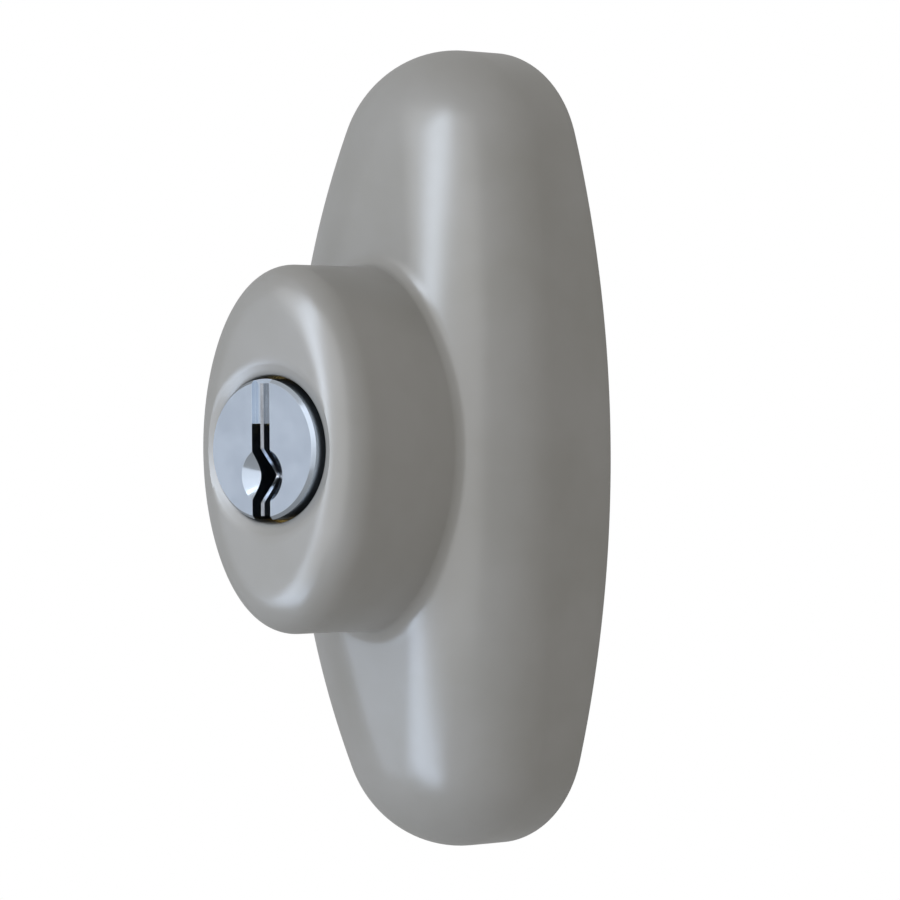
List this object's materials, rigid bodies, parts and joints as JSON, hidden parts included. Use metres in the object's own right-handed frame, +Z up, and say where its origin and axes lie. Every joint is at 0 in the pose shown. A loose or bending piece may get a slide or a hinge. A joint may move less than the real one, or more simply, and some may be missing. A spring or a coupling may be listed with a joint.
{
  "type": "patio door lock",
  "caption": "Surface lock for a patio door: oval body with an oval boss, key plug in the boss, flat bolt driven out of the lower end by a pinion and rack.",
  "frame": {"origin": "centre of the mounting face, midway between the two fixing holes", "axes": "+Z up along the body's length, +Y into the door, so the key plug faces -Y"},
  "size_m": [0.0286, 0.0312, 0.073],
  "materials": {
    "paint": "satin",
    "plated_steel": "satin",
    "screw_steel": "satin",
    "brass": "satin",
    "spring_steel": "polished",
    "plug_chrome": "satin",
    "bolt_steel": "satin",
    "hard_steel": "ground",
    "guide_plastic": "moulded"
  },
  "bodies": {
    "lock_body": {"housing": "paint", "base_plate": "plated_steel", "base_screw": "screw_steel", "retainer_plate": "plated_steel", "retainer_screws": "screw_steel", "cylinder_shell": "brass", "driver_pins": "brass", "pin_springs": "spring_steel", "spring_cover": "brass", "bolt_guide": "guide_plastic", "detent_spring": "spring_steel", "detent_rivet": "screw_steel"},
    "plug_body": {"plug": "plug_chrome", "key_pins": "brass", "keyway_leaf": "spring_steel", "plug_clip": "spring_steel", "drive_pinion": "plated_steel", "pinion_screw": "screw_steel"},
    "bolt_body": {"bolt": "bolt_steel", "bolt_pins": "hard_steel"}
  },
  "joints": [
    {"name": "plug_turn", "type": "hinge", "parent": "lock_body", "child": "plug_body", "pos_m": [0, 0, 0], "axis": [0, 1, 0], "range_deg": [0, 180]},
    {"name": "bolt_slide", "type": "slide", "parent": "lock_body", "child": "bolt_body", "axis": [0, 0, -1], "range_m": [0, 0.01257], "deforming": ["detent_spring"]}
  ],
  "couplings": [
    {"joint": "bolt_slide", "follows": "plug_turn", "m_per_rad": 0.004}
  ]
}
